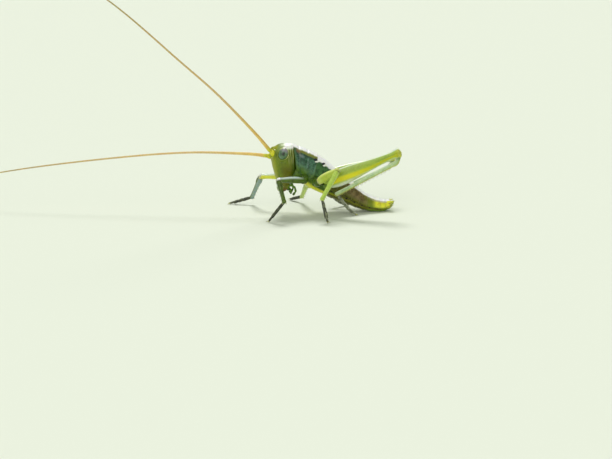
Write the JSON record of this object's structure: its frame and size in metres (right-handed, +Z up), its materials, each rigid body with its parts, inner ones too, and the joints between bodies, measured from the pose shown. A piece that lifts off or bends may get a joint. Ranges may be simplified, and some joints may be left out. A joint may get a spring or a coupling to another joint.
{
  "type": "young bush-cricket (long-horned grasshopper nymph)",
  "caption": "Life-size still model of a young wingless bush-cricket standing with its head raised, long feelers spread and hind legs folded, for display or scene dressing",
  "frame": {"origin": "on the floor, under the middle of the whole model's box, feelers included", "axes": "+Z up, head towards -Y, the animal's left side towards +X"},
  "size_m": [0.0192, 0.0414, 0.0244],
  "materials": {
    "face": "waxy yellow-green cuticle",
    "eye": "smooth pale grey-green compound eye",
    "feeler": "satin, yellow at the base to pink-tan",
    "mouth": "brownish hard cuticle",
    "shield": "waxy teal-green, mottled, pale along the back",
    "thorax": "waxy green cuticle",
    "abdomen": "brown sides, cream line along the back",
    "tail": "yellow-green cuticle",
    "leg": "silvery green cuticle",
    "hind_leg": "pale green with a yellow stripe",
    "foot": "dark brown-black"
  },
  "bodies": {
    "root": {"head": "face", "labrum": "face", "pronotum": "shield", "prothorax": "thorax", "mesothorax": "thorax", "metathorax": "thorax", "abdomen_1": "abdomen", "abdomen_2": "abdomen", "abdomen_3": "abdomen", "abdomen_4": "tail", "tail_plate": "tail", "eye_left": "eye", "mandible_left": "mouth", "long_palp_left": "face", "short_palp_left": "face", "cercus_left": "tail", "scape_left": "feeler", "antenna_base_left": "feeler", "antenna_middle_left": "feeler", "antenna_tip_left": "feeler", "eye_right": "eye", "mandible_right": "mouth", "long_palp_right": "face", "short_palp_right": "face", "cercus_right": "tail", "scape_right": "feeler", "antenna_base_right": "feeler", "antenna_middle_right": "feeler", "antenna_tip_right": "feeler", "coxa_front_left": "leg", "femur_front_left": "leg", "tibia_front_left": "leg", "tarsus_front_left": "foot", "coxa_front_right": "leg", "femur_front_right": "leg", "tibia_front_right": "leg", "tarsus_front_right": "foot", "coxa_middle_left": "leg", "femur_middle_left": "leg", "tibia_middle_left": "leg", "tarsus_middle_left": "foot", "coxa_middle_right": "leg", "femur_middle_right": "leg", "tibia_middle_right": "leg", "tarsus_middle_right": "foot", "coxa_hind_left": "hind_leg", "femur_hind_left": "hind_leg", "tibia_hind_left": "hind_leg", "tarsus_hind_left": "foot", "coxa_hind_right": "hind_leg", "femur_hind_right": "hind_leg", "tibia_hind_right": "hind_leg", "tarsus_hind_right": "foot"}
  },
  "joints": []
}
